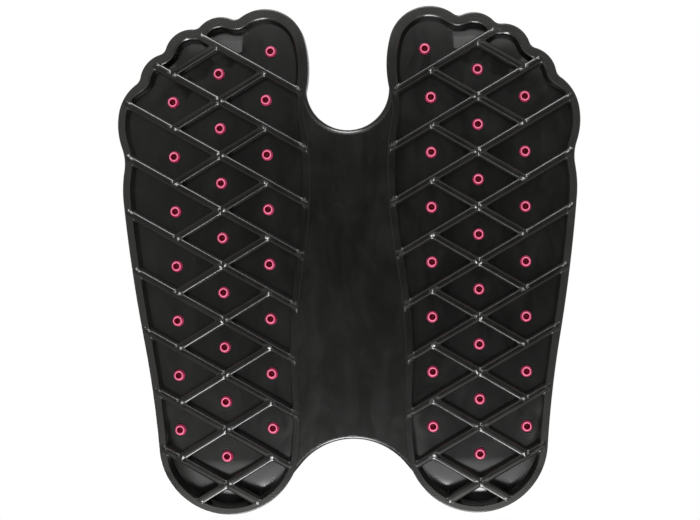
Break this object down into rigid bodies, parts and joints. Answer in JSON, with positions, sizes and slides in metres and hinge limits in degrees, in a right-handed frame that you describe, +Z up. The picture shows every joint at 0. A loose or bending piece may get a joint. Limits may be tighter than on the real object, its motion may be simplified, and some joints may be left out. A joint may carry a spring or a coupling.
{
  "type": "foot massage mat",
  "caption": "Foot-shaped standing mat: one black moulding with a ribbed hollow underside, a web between the feet, and soft pink massage pegs pressed through each footbed.",
  "frame": {"origin": "middle of the mat's footprint, on the surface that the ribs stand on", "axes": "+Z up through the footbeds, +Y towards the toes, +X towards the standing person's right"},
  "size_m": [0.279, 0.3051, 0.021],
  "materials": {
    "black_moulding": "satin black moulded plastic with faint flow marks",
    "pink_rubber": "soft satin hot-pink rubber"
  },
  "bodies": {
    "root": {"base_moulding": "black_moulding", "left_peg_big_toe": "pink_rubber", "right_peg_big_toe": "pink_rubber", "left_peg_inner_1": "pink_rubber", "right_peg_inner_1": "pink_rubber", "left_peg_inner_2": "pink_rubber", "right_peg_inner_2": "pink_rubber", "left_peg_inner_3": "pink_rubber", "right_peg_inner_3": "pink_rubber", "left_peg_inner_4": "pink_rubber", "right_peg_inner_4": "pink_rubber", "left_peg_inner_5": "pink_rubber", "right_peg_inner_5": "pink_rubber", "left_peg_inner_6": "pink_rubber", "right_peg_inner_6": "pink_rubber", "left_peg_inner_7": "pink_rubber", "right_peg_inner_7": "pink_rubber", "left_peg_middle_1": "pink_rubber", "right_peg_middle_1": "pink_rubber", "left_peg_middle_2": "pink_rubber", "right_peg_middle_2": "pink_rubber", "left_peg_middle_3": "pink_rubber", "right_peg_middle_3": "pink_rubber", "left_peg_middle_4": "pink_rubber", "right_peg_middle_4": "pink_rubber", "left_peg_middle_5": "pink_rubber", "right_peg_middle_5": "pink_rubber", "left_peg_middle_6": "pink_rubber", "right_peg_middle_6": "pink_rubber", "left_peg_middle_7": "pink_rubber", "right_peg_middle_7": "pink_rubber", "left_peg_middle_8": "pink_rubber", "right_peg_middle_8": "pink_rubber", "left_peg_outer_1": "pink_rubber", "right_peg_outer_1": "pink_rubber", "left_peg_outer_2": "pink_rubber", "right_peg_outer_2": "pink_rubber", "left_peg_outer_3": "pink_rubber", "right_peg_outer_3": "pink_rubber", "left_peg_outer_4": "pink_rubber", "right_peg_outer_4": "pink_rubber", "left_peg_outer_5": "pink_rubber", "right_peg_outer_5": "pink_rubber", "left_peg_outer_6": "pink_rubber", "right_peg_outer_6": "pink_rubber", "left_peg_outer_7": "pink_rubber", "right_peg_outer_7": "pink_rubber"}
  },
  "joints": []
}
